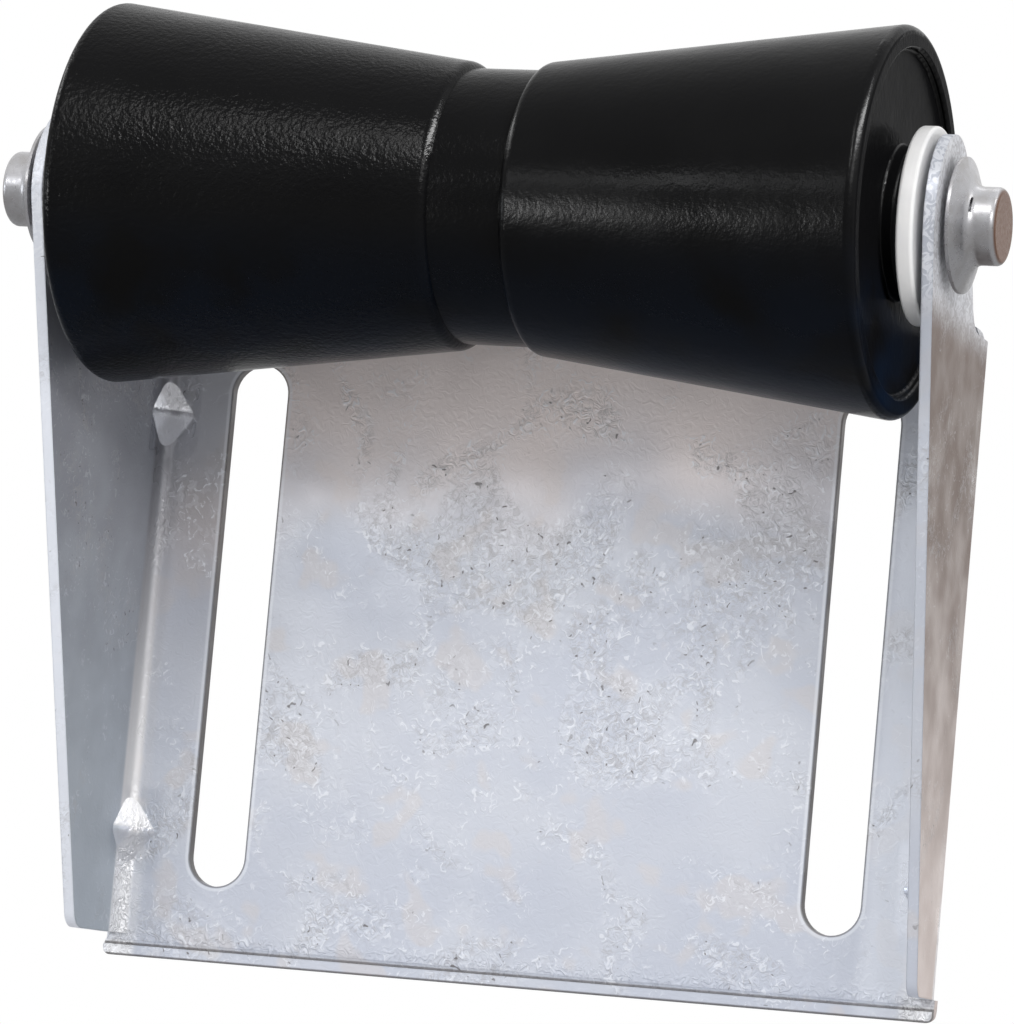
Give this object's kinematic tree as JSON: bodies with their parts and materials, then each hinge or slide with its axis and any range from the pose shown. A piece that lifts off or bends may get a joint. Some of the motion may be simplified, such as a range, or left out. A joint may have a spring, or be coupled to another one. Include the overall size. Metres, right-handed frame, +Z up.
{
  "type": "boat trailer roller",
  "caption": "Double-cone rubber keel roller on a shaft between the splayed ears of a slotted, folded zinc-coated steel bracket.",
  "frame": {"origin": "on the back face of the bracket's plate, midway between the two slots in width and in height", "axes": "+Y out of the plate's back face, so the roller stands forward on -Y; +X along the shaft to the right as seen from the roller's side; +Z up"},
  "size_m": [0.2425, 0.1033, 0.2232],
  "materials": {
    "zinc_sheet": "hot-dip zinc, mottled and dull",
    "plated_shaft": "bright zinc plate",
    "plated_cap": "bright zinc plate",
    "black_rubber": "semi-gloss, moulded",
    "white_plastic": "satin"
  },
  "bodies": {
    "bracket": {"bracket": "zinc_sheet"},
    "shaft": {"shaft": "plated_shaft", "cap_left": "plated_cap", "cap_right": "plated_cap"},
    "roller": {"roller": "black_rubber"},
    "washer_left": {"washer_left": "white_plastic"},
    "washer_right": {"washer_right": "white_plastic"}
  },
  "joints": [
    {"name": "shaft_spin", "type": "hinge", "parent": "bracket", "child": "shaft", "pos_m": [0, -0.0585, 0.0962], "axis": [1, 0, 0], "continuous": true},
    {"name": "roller_spin", "type": "hinge", "parent": "shaft", "child": "roller", "pos_m": [0, -0.0585, 0.0962], "axis": [1, 0, 0], "continuous": true},
    {"name": "washer_left_spin", "type": "hinge", "parent": "bracket", "child": "washer_left", "pos_m": [-0.10032, -0.0585, 0.09565], "axis": [0.9995, -0.0314, 0], "continuous": true},
    {"name": "washer_right_spin", "type": "hinge", "parent": "bracket", "child": "washer_right", "pos_m": [0.10032, -0.0585, 0.09565], "axis": [0.9995, 0.0314, 0], "continuous": true}
  ]
}
